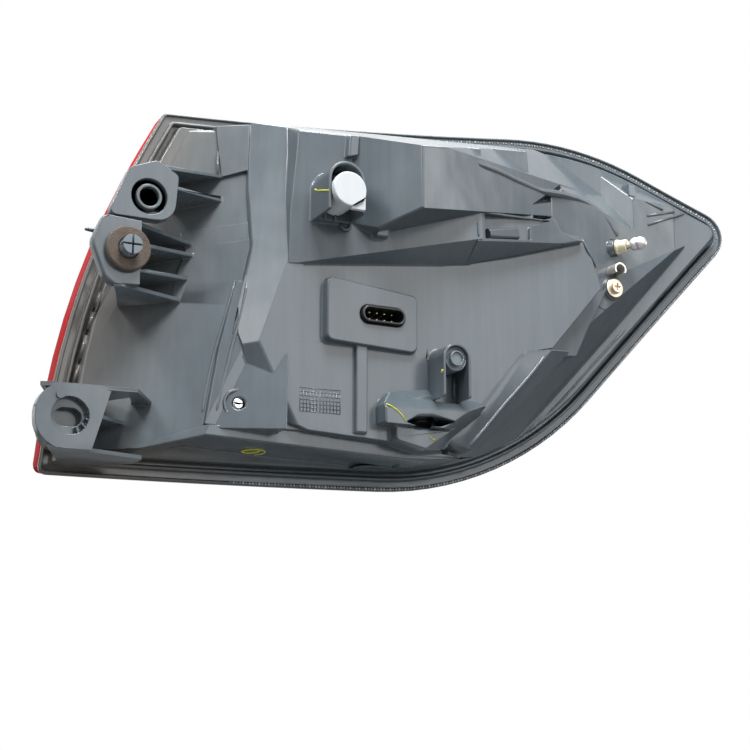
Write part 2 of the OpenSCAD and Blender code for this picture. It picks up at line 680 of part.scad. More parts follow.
housing();
outer_lens();
clear_window();
inner_bezel();
upper_reflector();
lower_reflector();
upper_bulb_holder();
lower_bulb_holder();
side_bulb_holder();
upper_bulb();
lower_bulb();
side_bulb();
plug_socket();
contact_pins();
ball_stud();
stud_collar();
earth_screw();
wire_clip();
foam_washer();
lug_bush();
aiming_screw();
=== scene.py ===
import math
import bmesh
import bpy
from mathutils import Matrix, Vector, kdtree


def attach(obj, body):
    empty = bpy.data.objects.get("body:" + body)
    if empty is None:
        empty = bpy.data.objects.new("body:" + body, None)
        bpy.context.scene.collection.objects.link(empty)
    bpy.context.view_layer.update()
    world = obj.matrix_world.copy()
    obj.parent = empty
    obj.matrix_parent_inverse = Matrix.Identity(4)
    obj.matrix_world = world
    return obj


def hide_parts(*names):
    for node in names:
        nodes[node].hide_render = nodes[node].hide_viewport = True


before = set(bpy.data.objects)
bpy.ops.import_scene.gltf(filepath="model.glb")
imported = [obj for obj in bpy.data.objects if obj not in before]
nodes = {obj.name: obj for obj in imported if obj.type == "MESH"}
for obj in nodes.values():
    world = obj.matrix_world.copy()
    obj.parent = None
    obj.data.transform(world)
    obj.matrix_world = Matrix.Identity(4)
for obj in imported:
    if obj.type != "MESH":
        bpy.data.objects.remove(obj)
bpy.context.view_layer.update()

# The studio: a white sweep behind and under the lamp, one broad soft light above it, and weaker ones that
# each pick out a few faces, so that faces turned up shine and undersides fall dark, as in a product shot.
scene = bpy.context.scene
scene.view_settings.view_transform = "Standard"
FLOOR_Z = -0.40
FLOOR_SIZE = 3.0
FLOOR_MIDDLE = (0.15, 0.6, FLOOR_Z)
FILL = 0.13


def srgb(text, alpha=1.0):
    """Linear colour of an sRGB hex value."""
    parts = [int(text[i:i + 2], 16) / 255 for i in (1, 3, 5)]
    return tuple(c / 12.92 if c <= 0.04045 else ((c + 0.055) / 1.055) ** 2.4 for c in parts) + (alpha,)


def add(tree, kind, settings=None, **links):
    """A node of a shader tree, with its settings, its values and the sockets that feed it."""
    node = tree.nodes.new(kind)
    for name, value in (settings or {}).items():
        setattr(node, name, value)
    for name, value in links.items():
        socket = node.inputs[int(name[1:])] if name[0] == "_" else node.inputs[name.replace("_", " ")]
        if isinstance(value, bpy.types.NodeSocket):
            tree.links.new(value, socket)
        else:
            socket.default_value = value
    return node


def fresh(name):
    """A material with an empty node tree."""
    material = bpy.data.materials.new(name)
    material.use_nodes = True
    material.node_tree.nodes.clear()
    return material, material.node_tree


world = bpy.data.worlds.new("white sweep")
world.use_nodes = True
scene.world = world
sky = world.node_tree
sky.nodes.clear()
seen = add(sky, "ShaderNodeLightPath")
camera_or_gloss = add(sky, "ShaderNodeMath", {"operation": "MAXIMUM"},
                      _0=seen.outputs["Is Camera Ray"], _1=seen.outputs["Is Glossy Ray"])
seen_white = add(sky, "ShaderNodeMath", {"operation": "MAXIMUM"},
                 _0=camera_or_gloss.outputs[0], _1=seen.outputs["Is Transmission Ray"])
fill = add(sky, "ShaderNodeBackground", Color=srgb("#ffffff"), Strength=FILL)
white = add(sky, "ShaderNodeBackground", Color=srgb("#ffffff"), Strength=1.0)
mixed = add(sky, "ShaderNodeMixShader", _0=seen_white.outputs[0], _1=fill.outputs[0], _2=white.outputs[0])
add(sky, "ShaderNodeOutputWorld", Surface=mixed.outputs[0])


def soft_light(name, place, target, size, power):
    """A square area light that faces its target."""
    lamp = bpy.data.lights.new(name, "AREA")
    lamp.size = size
    lamp.energy = power
    holder = bpy.data.objects.new(name, lamp)
    scene.collection.objects.link(holder)
    holder.location = place
    holder.rotation_euler = (Vector(target) - Vector(place)).to_track_quat("-Z", "Y").to_euler()


# Each lamp stands at its place in metres, faces the middle or the deep corner, and has its side and power.
MIDDLE = (0.15, 0.0, -0.03)
CORNER = (0.03, 0.05, 0.05)
soft_light("light above", (0.10, -0.60, 1.05), MIDDLE, 0.6, 26.0)
soft_light("light from the left", (-1.10, -0.85, 0.75), MIDDLE, 0.5, 4.5)
soft_light("light from the right", (0.65, -1.40, 0.38), MIDDLE, 0.8, 5.5)
soft_light("light at the tip", (1.3, -0.7, 0.5), MIDDLE, 0.4, 2.0)
soft_light("light behind", (0.42, 0.50, 0.95), MIDDLE, 0.5, 6.0)
soft_light("light over the corner", (0.14, 0.17, 1.05), CORNER, 0.3, 4.0)
soft_light("light beside the corner", (-0.64, -0.03, 0.79), CORNER, 0.25, 8.0)

# Matt paper: grey to the light, so that the lamp's shadow shows on it, and lifted to white for the camera.
PAPER_LIFT = 0.78
paper, paper_tree = fresh("white paper sweep")
paper_path = add(paper_tree, "ShaderNodeLightPath")
paper_matt = add(paper_tree, "ShaderNodeBsdfDiffuse", Color=srgb("#8f8f8f"))
paper_seen = add(paper_tree, "ShaderNodeMath", {"operation": "MULTIPLY"},
                 _0=paper_path.outputs["Is Camera Ray"], _1=PAPER_LIFT)
paper_glow = add(paper_tree, "ShaderNodeEmission", Color=srgb("#ffffff"), Strength=paper_seen.outputs[0])
paper_mix = add(paper_tree, "ShaderNodeAddShader", _0=paper_matt.outputs[0], _1=paper_glow.outputs[0])
add(paper_tree, "ShaderNodeOutputMaterial", Surface=paper_mix.outputs[0])
sweep = bmesh.new()
bmesh.ops.create_grid(sweep, x_segments=1, y_segments=1, size=FLOOR_SIZE)
bmesh.ops.translate(sweep, verts=sweep.verts, vec=FLOOR_MIDDLE)
floor_mesh = bpy.data.meshes.new("floor")
sweep.to_mesh(floor_mesh)
sweep.free()
floor = bpy.data.objects.new("floor", floor_mesh)
scene.collection.objects.link(floor)
floor.data.materials.append(paper)

# The camera stands low in front of the body side, to the left of the lamp, where the photograph was taken.
EYE = Vector((-0.2132, -0.7076, -0.2649))
LOOK = Vector((0.42714, 0.87576, 0.22495))
SENSOR_MM = 36.0
FOCAL_MM = 70.32
lens = bpy.data.cameras.new("camera")
lens.sensor_width = SENSOR_MM
lens.lens = FOCAL_MM
camera = bpy.data.objects.new("camera", lens)
scene.collection.objects.link(camera)
camera.location = EYE
camera.rotation_euler = LOOK.to_track_quat("-Z", "Y").to_euler()
scene.camera = camera


# Housing: one injection moulding of grey polypropylene. The mould leaves a radius on every edge, and the
# glossy skin is slightly wavy where the thick parts have sunk.

# Rounding, in metres: the step between marks along an edge, the cosine above which a mark lies ahead and not
# beside, the least spread of a sharp corner, the least radius worth making, and what merges or counts as flat.
MARK_STEP = 0.001
ALONGSIDE = 0.8
LEAST_SPREAD = 0.05
LEAST_RADIUS = 0.00004
MERGE_WITHIN = 0.000002
FLAT_WITHIN = math.radians(0.4)


def edge_room(corners, radius, share):
    """How far each corner edge may be rounded before the rounding meets another edge."""
    marks = []
    for edge in corners:
        a, b = edge.verts[0].co, edge.verts[1].co
        steps = max(1, int((b - a).length / MARK_STEP))
        marks += [(a.lerp(b, (k + 0.5) / steps), edge) for k in range(steps)]
    tree = kdtree.KDTree(len(marks))
    for k, (place, edge) in enumerate(marks):
        tree.insert(place, k)
    tree.balance()
    room = dict.fromkeys(corners, radius)
    for place, edge in marks:
        along = (edge.verts[1].co - edge.verts[0].co).normalized()
        for near, k, gap in tree.find_range(place, radius / share):
            other = marks[k][1]
            if other is edge or gap < 1e-7 or set(other.verts) & set(edge.verts):
                continue
            if abs((near - place).normalized().dot(along)) < ALONGSIDE:
                room[edge] = min(room[edge], share * gap)
    for edge in corners:
        for corner in edge.verts:
            along = edge.other_vert(corner).co - corner.co
            for face in edge.link_faces:
                for side in face.edges:
                    if side is edge or corner not in side.verts:
                        continue
                    angle = along.angle(side.other_vert(corner).co - corner.co, math.pi / 2)
                    spread = math.tan(min(angle, 3.1) / 2) if side in room else math.sin(angle)
                    room[edge] = min(room[edge], share * side.calc_length() * max(spread, LEAST_SPREAD))
    return room


def rounded_copy(node, name, radius_mm, sharp=14.0, segments=2, share=0.4, crisp=(), flat=True):
    """A copy of a solid with its triangles merged and each edge rounded as far as its neighbours allow."""
    radius = radius_mm / 1000
    mesh = nodes[node].data.copy()
    mesh.name = name
    shell = bmesh.new()
    shell.from_mesh(mesh)
    bmesh.ops.remove_doubles(shell, verts=shell.verts, dist=MERGE_WITHIN)
    bmesh.ops.dissolve_limit(shell, angle_limit=FLAT_WITHIN, verts=shell.verts, edges=shell.edges)
    weight = shell.edges.layers.float.new("bevel_weight_edge")
    least = math.radians(sharp)
    corners = [e for e in shell.edges if len(e.link_faces) == 2 and e.calc_face_angle(0) > least]
    for edge, room in edge_room(corners, radius, share).items():
        middle = (edge.verts[0].co + edge.verts[1].co) / 2
        for x, y, z, reach, limit in crisp:
            if (middle - Vector((x, y, z)) / 1000).length < reach / 1000:
                room = min(room, limit / 1000)
        edge[weight] = room / radius
        if room < LEAST_RADIUS:
            edge[weight] = 0.0
            edge.smooth = False
    for face in shell.faces:
        face.smooth = True
    shell.to_mesh(mesh)
    shell.free()
    piece = bpy.data.objects.new(name, mesh)
    scene.collection.objects.link(piece)
    rounding = piece.modifiers.new("mould radius", "BEVEL")
    rounding.width = radius
    rounding.segments = segments
    rounding.limit_method = "WEIGHT"
    rounding.miter_outer = "MITER_ARC"
    rounding.spread = radius * 0.2
    rounding.use_clamp_overlap = False
    if flat:
        level = piece.modifiers.new("flat faces stay flat", "WEIGHTED_NORMAL")
        level.weight = 80
        level.keep_sharp = True
    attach(piece, "root")
    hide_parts(node)
    return piece


# The skin of a moulding. Its grain is drawn as coarse as it needs to show. Patches of tone are about 45 mm
# across, and flow streaks 4 mm by 70 mm. A painted reflection turns the colour warmer and browner towards
# the left and the deep end, by X and Y, where the left panel shows its surroundings as lit.
# Nearly all values of a noise lie in the range that its map takes in.
NOISE = {"_1": 0.3, "_2": 0.7}
GRAIN_MM = 0.4
GRAIN_DEPTH = 0.0002
SINK_DEPTH = 0.0014
PATCHES_PER_M = 22.0
STREAKS_PER_M = (260.0, 260.0, 14.0)
PAINTED_REFLECTION_X = (0.01, 0.085)
PAINTED_REFLECTION_Y = (0.02, 0.045)


def plastic(name, colour, roughness, sink_mm=26.0, sink=0.42, grain=0.03, streak=0.02, cloud=0.07,
            painted_reflection=None):
    """Moulded plastic: nearly even colour, a skin that has sunk a little, faint flow streaks and, if given, a
    painted warm reflection.
    """
    material, tree = fresh(name)
    place = add(tree, "ShaderNodeTexCoord")
    waves = add(tree, "ShaderNodeTexNoise", Vector=place.outputs["Object"], Scale=1000 / sink_mm, Detail=1.5)
    fine = add(tree, "ShaderNodeTexNoise", Vector=place.outputs["Object"], Scale=1000 / GRAIN_MM, Detail=1.0)
    tone = add(tree, "ShaderNodeTexNoise", Vector=place.outputs["Object"], Scale=PATCHES_PER_M, Detail=5.0)
    drawn = add(tree, "ShaderNodeMapping", _0=place.outputs["Object"], Scale=STREAKS_PER_M)
    flow = add(tree, "ShaderNodeTexNoise", Vector=drawn.outputs[0], Scale=1.0, Detail=3.0)
    lines = add(tree, "ShaderNodeMapRange", _0=flow.outputs["Fac"], **NOISE,
                _3=1 - streak, _4=1 + streak)
    shade = add(tree, "ShaderNodeMapRange", _0=tone.outputs["Fac"], **NOISE,
                _3=1 - cloud, _4=1 + cloud)
    both = add(tree, "ShaderNodeMath", {"operation": "MULTIPLY"}, _0=lines.outputs[0], _1=shade.outputs[0])
    tint = add(tree, "ShaderNodeVectorMath", {"operation": "SCALE"},
               _0=srgb(colour)[:3], Scale=both.outputs[0])
    # Painted reflection: the colour shifts to the warmer tone at the left and the deep end, as the left panel
    # looks when lit.
    if painted_reflection:
        split = add(tree, "ShaderNodeSeparateXYZ", _0=place.outputs["Object"])
        near = add(tree, "ShaderNodeMapRange", _0=split.outputs["X"],
                   _1=PAINTED_REFLECTION_X[0], _2=PAINTED_REFLECTION_X[1], _3=1.0, _4=0.0)
        deep = add(tree, "ShaderNodeMapRange", _0=split.outputs["Y"],
                   _1=PAINTED_REFLECTION_Y[0], _2=PAINTED_REFLECTION_Y[1], _3=0.0, _4=1.0)
        painted_reflection_mask = add(tree, "ShaderNodeMath", {"operation": "MULTIPLY"},
                    _0=near.outputs[0], _1=deep.outputs[0])
        painted_reflection_mix = add(tree, "ShaderNodeMix", {"data_type": "VECTOR"},
                     _0=painted_reflection_mask.outputs[0], _4=srgb(colour)[:3], _5=srgb(painted_reflection)[:3])
        tree.links.new(painted_reflection_mix.outputs[1], tint.inputs[0])
    wavy = add(tree, "ShaderNodeBump", Strength=sink, Distance=SINK_DEPTH, Height=waves.outputs["Fac"])
    grainy = add(tree, "ShaderNodeBump", Strength=grain, Distance=GRAIN_DEPTH, Height=fine.outputs["Fac"],
                 Normal=wavy.outputs[0])
    gloss = add(tree, "ShaderNodeMapRange", _0=tone.outputs["Fac"], **NOISE,
                _3=roughness * 0.8, _4=roughness * 1.2)
    skin = add(tree, "ShaderNodeBsdfPrincipled", Base_Color=tint.outputs[0], Roughness=gloss.outputs[0],
               Normal=grainy.outputs[0], IOR=1.49)
    add(tree, "ShaderNodeOutputMaterial", Surface=skin.outputs[0])
    return material


def dress(piece, material):
    """Gives a piece one material, and a new piece its slot."""
    piece.data.materials.clear()
    piece.data.materials.append(material)


# Places where thin ribs meet, in mm in the part's frame, each with its reach and the largest radius there.
RIB_CORNERS = ((-50, 8, -104, 18, 0.0), (-30, 8, -104, 14, 0.0), (-36, 4, -118, 22, 0.4),
               (0, 2, 0, 26, 0.6), (206, -14, 3, 16, 0.5), (186, 0, -122, 14, 0.5))
HOUSING_RADIUS = 1.6

# Polypropylene off a polished mould: a cool grey whose broad soft reflections show the sunken skin.
# The warmer tone of the left panel is a painted reflection, not a colour of the plastic.
housing_grey = plastic("glossy grey polypropylene", "#545d63", 0.2, streak=0.06, cloud=0.1, painted_reflection="#5f5d5a")
housing = rounded_copy("housing", "moulded_housing", HOUSING_RADIUS, crisp=RIB_CORNERS)
dress(housing, housing_grey)

# Small mouldings of the same shot: the notched lip beside the lugs, the rib grid by the plug, the stiffening
# ridges at the tip and the fins. Each stands in the housing's surface and is of the same plastic.
DRAWING_TO_PART = Vector((-2, 0, 2))


def at(x, y, z):
    """A point of the drawing in millimetres, as the part places it."""
    return (Vector((x, y, z)) + DRAWING_TO_PART) / 1000


def rod(shell, points, radius_mm, sides=8):
    """Sweeps a round section along points and closes both ends."""
    points = [at(*p) for p in points]
    heading = (points[1] - points[0]).normalized()
    place = Matrix.Translation(points[0]) @ heading.to_track_quat("Z", "Y").to_matrix().to_4x4()
    ring = bmesh.ops.create_circle(shell, cap_ends=True, segments=sides, radius=radius_mm / 1000,
                                   matrix=place)
    ends = ring["verts"]
    loop = list({edge for vert in ends for edge in vert.link_edges})
    for i in range(1, len(points)):
        ahead = points[min(i + 1, len(points) - 1)] - points[i - 1]
        grown = bmesh.ops.extrude_edge_only(shell, edges=loop)["geom"]
        ends = [g for g in grown if isinstance(g, bmesh.types.BMVert)]
        loop = [g for g in grown if isinstance(g, bmesh.types.BMEdge)]
        turn = heading.rotation_difference(ahead.normalized()).to_matrix()
        bmesh.ops.rotate(shell, verts=ends, cent=points[i - 1], matrix=turn)
        bmesh.ops.translate(shell, verts=ends, vec=points[i] - points[i - 1])
        heading = ahead.normalized()
    bmesh.ops.contextual_create(shell, geom=loop)


def bar(shell, middle, size_mm, turn=(0, 0, 0)):
    """A small bar of the moulding, turned about X, Y and Z in degrees."""
    place = Matrix.Translation(at(*middle))
    for axis, angle in zip("XYZ", turn):
        place = place @ Matrix.Rotation(math.radians(angle), 4, axis)
    bmesh.ops.create_cube(shell, size=0.001, matrix=place @ Matrix.Diagonal((*size_mm, 1.0)))


def placed(shell, name, material, bevel_mm=0.0):
    """Makes a piece of a bmesh, with outward faces, and lets it ride on the lamp."""
    bmesh.ops.recalc_face_normals(shell, faces=shell.faces)
    for face in shell.faces:
        face.smooth = True
    mesh = bpy.data.meshes.new(name)
    shell.to_mesh(mesh)
    shell.free()
    piece = bpy.data.objects.new(name, mesh)
    scene.collection.objects.link(piece)
    if bevel_mm:
        rounding = piece.modifiers.new("mould radius", "BEVEL")
        rounding.width = bevel_mm / 1000
        rounding.segments = 2
        rounding.angle_limit = math.radians(40)
        level = piece.modifiers.new("flat faces stay flat", "WEIGHTED_NORMAL")
        level.keep_sharp = True
    dress(piece, material)
    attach(piece, "root")
    return piece


# The lip beside the lugs has four lengths, with gaps where the ribs of the lugs cross it.
LIP_RADIUS = 1.5
LIP_RUNS = ([(-8.4, 50.5, -43), (-11.0, 50.5, -52)], [(-12.0, 50.5, -55), (-14.6, 49.5, -65)],
            [(-15.4, 49.0, -68.5), (-18.2, 48, -82)], [(-19, 47.5, -85.5), (-21.4, 46.5, -96)])
mouldings = bmesh.new()
for run in LIP_RUNS:
    rod(mouldings, run, LIP_RADIUS)

# Three ridges fan out at the tip, partly sunk in the floor there.
RIDGE_RADIUS = 0.8
RIDGE_SUNK = 0.4
TIP_RIDGES = ([(327.8, 6.4, 48.5), (341.3, 7.3, 45.2)], [(328.1, 6.4, 38.9), (350.8, 8.0, 45.5)],
              [(328.6, 6.4, 33.0), (345.0, 7.6, 40.0), (357.3, 6.2, 44.9)])
for ridge in TIP_RIDGES:
    rod(mouldings, [(x, y + RIDGE_SUNK, z) for x, y, z in ridge], RIDGE_RADIUS)

# Folds of the skin, each by its radius, how far its middle is sunk, and points along it: the two edges of
# the band left of the plug pad, the panel's edge below the tip, the facet's edge at the lower slant, the
# rounded brow above the roof-shaped block, and two short folds of that block.
FOLDS = (
    (1.0, 0.55, [(57.9, 18.0, -36.3), (52.6, 17.8, -56.0), (46.8, 16.4, -75.8), (42.1, 14.6, -95.5),
                 (38.6, 12.3, -115.0)]),
    (1.0, 0.55, [(63.0, 12.6, -37.0), (59.0, 11.6, -57.2), (53.8, 10.8, -76.4), (48.9, 9.4, -95.8),
                 (44.6, 9.0, -114.5)]),
    (0.8, 0.3, [(350.4, 17.7, -4.0), (331.0, 17.2, -20.4), (311.9, 17.7, -38.0), (291.8, 22.2, -60.2),
                (271.8, 26.1, -82.6), (255.0, 30.2, -98.4)]),
    (1.2, 0.6, [(241.6, -8.7, -62.4), (227.8, -8.2, -79.1), (212.6, -7.3, -95.6), (200.2, -6.7, -109.9),
                (188.7, -6.0, -122.7)]),
    (2.4, 1.6, [(176.0, -21.0, 40.4), (190.0, -21.6, 40.5), (207.3, -15.7, 40.5), (222.1, -10.4, 39.7),
                (242.7, -3.0, 39.3), (260, 0.0, 40.6), (276.0, 2.6, 40.2), (289.4, 4.6, 36.4),
                (298.0, 4.4, 29.6), (303.9, 4.7, 20.2)]),
    (0.9, 0.3, [(190.1, -18.9, 8.6), (190.5, -19.0, -3.9)]),
    (0.9, 0.3, [(268.8, -7.4, 11.5), (273.9, -7.7, 1.4), (281.5, -2.6, -3.4)]),
)
FOLD_SIDES = 12


def eased(run):
    """The run with points between the chosen ones, on a smooth curve through them."""
    spots = [Vector(p) for p in run]
    ends = [2 * spots[0] - spots[1]] + spots + [2 * spots[-1] - spots[-2]]
    line = [spots[0]]
    for p, q, r, s in zip(ends, ends[1:], ends[2:], ends[3:]):
        for t in (0.25, 0.5, 0.75, 1.0):
            line.append(0.5 * (2 * q + (r - p) * t + (2 * p - 5 * q + 4 * r - s) * t * t
                               + (3 * q - p - 3 * r + s) * t ** 3))
    return line


for radius, sunk, run in FOLDS:
    line = eased(run)
    depth = [sunk + radius] + [sunk] * (len(line) - 2) + [sunk + radius]
    rod(mouldings, [(x, y + d, z) for (x, y, z), d in zip(line, depth)], radius, FOLD_SIDES)

# Below the upper bay hang a small hook and three fins, and a seam runs on the corner and on the lower bay.
HOOK = [(110.3, -4.2, -1.5), (110.6, -5.4, -4.4), (112.4, -5.9, -6.0), (114.8, -5.9, -5.6), (116, -5.6, -3)]
HOOK_RADIUS = 0.9
CORNER_SEAM = [(51.9, 35.6, 44.0), (50.2, 30.6, 28.6)]
CORNER_SEAM_RADIUS = 0.7
BAY_SEAM = [(179.7, -7.0, -82.0), (179.6, -7.0, -94.5)]
BAY_SEAM_RADIUS = 0.8
FIN_FOOT_Z = {99.5: -2.5, 105.5: -3.5, 117.0: -2.0}
FIN_TOP_Y, FIN_TOP_Z, FIN_FOOT_Y = -9.5, 4.5, -8.0
FIN_RADIUS = 0.6
rod(mouldings, HOOK, HOOK_RADIUS)
rod(mouldings, CORNER_SEAM, CORNER_SEAM_RADIUS)
rod(mouldings, BAY_SEAM, BAY_SEAM_RADIUS)
for x, foot in FIN_FOOT_Z.items():
    rod(mouldings, [(x, FIN_TOP_Y, FIN_TOP_Z), (x, FIN_FOOT_Y, foot)], FIN_RADIUS)
placed(mouldings, "small_mouldings", housing_grey)

# The rib grid: thirteen upright ribs and seven level ones, on the floor below the plug pad.
GRID_LEFT, GRID_RIGHT = 89.6, 113.2
GRID_LOW, GRID_TOP = -109.0, -96.0
GRID_COLUMNS, GRID_PITCH_X, GRID_FIRST_X = 13, 1.93, 89.8
GRID_ROWS, GRID_PITCH_Z = 7, 2.17
GRID_RADIUS = 0.28
FLOOR_Y_AT_0, FLOOR_SLOPE = 6.05, 0.05


def floor_y(x):
    """Y of the sloping floor that carries the rib grid."""
    return FLOOR_Y_AT_0 - FLOOR_SLOPE * x


grid = bmesh.new()
for k in range(GRID_COLUMNS):
    x = GRID_FIRST_X + GRID_PITCH_X * k
    rod(grid, [(x, floor_y(x), GRID_LOW), (x, floor_y(x), GRID_TOP)], GRID_RADIUS, 6)
for k in range(GRID_ROWS):
    z = GRID_LOW + GRID_PITCH_Z * k
    rod(grid, [(GRID_LEFT, floor_y(GRID_LEFT), z), (GRID_RIGHT, floor_y(GRID_RIGHT), z)], GRID_RADIUS, 6)
placed(grid, "rib_grid", housing_grey)

# Short struts stand round the bore of the lower lug, and one block stands below the top edge near the tip.
STRUT_X, STRUT_Y, STRUT_Z = -33.5, 3.4, -120.5
STRUT_CIRCLE = 9.8
STRUT_SIZE = (4.2, 4.4, 1.0)
TIP_BLOCK_PLACE, TIP_BLOCK_SIZE, TIP_BLOCK_TURN = (317.4, 10.5, 54.5), (5.5, 7.0, 8.0), (0, 0, 8)
STRUT_EDGE = 0.35
struts = bmesh.new()
for angle in range(-70, 51, 24):
    x = STRUT_X + STRUT_CIRCLE * math.cos(math.radians(angle))
    z = STRUT_Z + STRUT_CIRCLE * math.sin(math.radians(angle))
    bar(struts, (x, STRUT_Y, z), STRUT_SIZE, (0, -angle, 0))
bar(struts, TIP_BLOCK_PLACE, TIP_BLOCK_SIZE, TIP_BLOCK_TURN)
placed(struts, "lug_struts", housing_grey, STRUT_EDGE)


# Weld bead: where the lens is hot-plate welded to the flange, molten plastic squeezes out and sets as a
# fine serrated bead along the top and the lower slant. Its pale colour is a painted highlight for its glints.

# The lamp's outline in the drawing: its corners as X and Z, their radii, how far the cut line bows out, and
# the circle on which the rim wraps round the car.
HEEL, KNEE, TIP = Vector((-38, -145)), Vector((242, -140)), Vector((398, 38))
SHOULDER, TOP = Vector((292, 92)), Vector((25, 70))
HEEL_R, KNEE_R, TIP_R, SHOULDER_R, TOP_R, BOW_R = 4, 185, 18, 165, 4, 520
BOW_OUT = 19.5
LEAST_R = 0.1
WRAP_R, CROWN_X, CROWN_Y = 1150, 60, 55


def left_of(v):
    """The direction at the left hand of v."""
    return Vector((-v.y, v.x))


def inset(points, t):
    """The outline with every side moved inwards by t."""
    count = len(points)
    area = sum(points[i].x * points[(i + 1) % count].y - points[(i + 1) % count].x * points[i].y
               for i in range(count))
    way = 1 if area > 0 else -1
    moved = []
    for i, p in enumerate(points):
        u = way * left_of((p - points[i - 1]).normalized())
        w = way * left_of((points[(i + 1) % count] - p).normalized())
        moved.append(p + t * (u + w) / (1 + u.dot(w)))
    return moved


def rim_line(t, step_mm):
    """Points of the lamp's edge in the drawing, t inside it, a step apart."""
    bow = (HEEL + TOP) / 2 - left_of((HEEL - TOP).normalized()) * BOW_OUT
    corners = [(HEEL, HEEL_R), (KNEE, KNEE_R), (TIP, TIP_R), (SHOULDER, SHOULDER_R), (TOP, TOP_R),
               (bow, BOW_R)]
    points = inset([c[0] for c in corners], t)
    line = []
    for i, (p, (_, radius)) in enumerate(zip(points, corners)):
        after = points[(i + 1) % len(points)]
        u, w = (points[i - 1] - p).normalized(), (after - p).normalized()
        half = math.acos(u.dot(w)) / 2
        r = max(radius - t, LEAST_R)
        centre = p + (u + w).normalized() * r / math.sin(half)
        start = p + u * r / math.tan(half) - centre
        way = 1 if (p - points[i - 1]).cross(after - p) > 0 else -1
        steps = max(2, int(r * (math.pi - 2 * half) / step_mm))
        for k in range(steps + 1):
            line.append(centre + Matrix.Rotation(way * (math.pi - 2 * half) * k / steps, 2) @ start)
    even = [line[0]]
    for goal in line[1:] + line[:1]:
        while (goal - even[-1]).length >= step_mm:
            even.append(even[-1] + (goal - even[-1]).normalized() * step_mm)
    return even


def wrap_y(x):
    """Y of the rim at x, where the lamp wraps round the corner of the car."""
    return CROWN_Y - WRAP_R + math.sqrt(WRAP_R ** 2 - (x - CROWN_X) ** 2)


# Three rows of beads, each by its distance inside the rim and out from it: one on the slant, two on top.
# The beads differ in size by a quick ripple and a slow swell.
BEAD_PITCH = 1.9
BEAD_R, RIPPLE, RIPPLE_TURN, SWELL, SWELL_TURN = 0.6, 0.2, 2.4, 0.12, 0.31
SLANT_BELOW_Z = 30
BEAD_FROM_X = 70
BEAD_ROWS = ((1.2, 1.75, False), (3.3, 0.2, True), (9.0, 0.2, True))
bead = bmesh.new()
for inside, out, on_top in BEAD_ROWS:
    for k, p in enumerate(rim_line(inside, BEAD_PITCH)):
        if (p.y > SLANT_BELOW_Z) != on_top or p.x < BEAD_FROM_X:
            continue
        size = BEAD_R + RIPPLE * math.sin(k * RIPPLE_TURN) + SWELL * math.sin(k * SWELL_TURN)
        spot = Matrix.Translation(at(p.x, wrap_y(p.x) - out, p.y)) @ Matrix.Diagonal((1.0, 0.8, 1.0, 1.0))
        bmesh.ops.create_icosphere(bead, subdivisions=1, radius=size / 1000, matrix=spot)
# The beads are coloured pale grey-white: a painted highlight that stands for the small points of light they
# catch.
bead_painted_highlight = plastic("squeezed-out weld plastic", "#b4babd", 0.3, sink=0.0)
placed(bead, "weld_bead", bead_painted_highlight)

# Lens and window: one two-colour moulding, red acrylic with a clear band over the reversing and turn lamps.
# It is polished outside and has broad shallow flutes inside, upright, which spread the light.
FLUTE_DEPTH = 0.0006
SMEARS_PER_M = 35.0
WAVE_RADIANS = 20


def acrylic(name, colour, roughness, flute_mm=0.0, flute=0.0, transmission=1.0, level=0.3, ior=1.49):
    """Clear or dyed plastic or glass, with flutes a pitch apart as a wave in its surface, and faint smears."""
    material, tree = fresh(name)
    place = add(tree, "ShaderNodeTexCoord")
    smear = add(tree, "ShaderNodeTexNoise", Vector=place.outputs["Object"], Scale=SMEARS_PER_M, Detail=4.0)
    haze = add(tree, "ShaderNodeMapRange", _0=smear.outputs["Fac"], _1=0.45, _2=0.75,
               _3=roughness, _4=roughness * 3)
    tone = add(tree, "ShaderNodeMapRange", _0=smear.outputs["Fac"], **NOISE, _3=0.93, _4=1.04)
    tint = add(tree, "ShaderNodeVectorMath", {"operation": "SCALE"},
               _0=srgb(colour)[:3], Scale=tone.outputs[0])
    body = add(tree, "ShaderNodeBsdfPrincipled", Base_Color=tint.outputs[0], Roughness=haze.outputs[0],
               IOR=ior, Transmission_Weight=transmission, Specular_IOR_Level=level)
    if flute_mm:
        wave = add(tree, "ShaderNodeTexWave", {"bands_direction": "X", "wave_profile": "SIN"},
                   Vector=place.outputs["Object"], Scale=1000 * math.tau / flute_mm / WAVE_RADIANS)
        bump = add(tree, "ShaderNodeBump", Strength=flute, Distance=FLUTE_DEPTH, Height=wave.outputs["Fac"])
        tree.links.new(bump.outputs[0], body.inputs["Normal"])
    add(tree, "ShaderNodeOutputMaterial", Surface=body.outputs[0])
    return material


# Dyed through: deep red where the box behind is dark, glowing where light comes in from the side.
red_acrylic = acrylic("dyed red acrylic", "#b3141b", 0.04, 31.416, 0.5, transmission=0.75, level=0.2)
# The edge is as the mould left it, without polish, so it shows flat red with almost no shine.
EDGE_SHINE = 0.08
FRONT_FACING = 0.55
matt_red = plastic("moulded red acrylic edge", "#a81219", 0.6, sink=0.1, cloud=0.12)
matt_red.node_tree.nodes["Principled BSDF"].inputs["Specular IOR Level"].default_value = EDGE_SHINE
red_lens = rounded_copy("outer_lens", "red_lens", 0.9)
dress(red_lens, red_acrylic)
red_lens.data.materials.append(matt_red)
for face in red_lens.data.polygons:
    face.material_index = 1 if abs(face.normal.y) < FRONT_FACING else 0
# Undyed and polished, with closer flutes, which bend the picture of the reflector behind it.
clear_acrylic = acrylic("clear acrylic", "#eef1f2", 0.02, 18.85, 0.6, transmission=1.0, level=0.4)
dress(rounded_copy("clear_window", "window", 0.3), clear_acrylic)

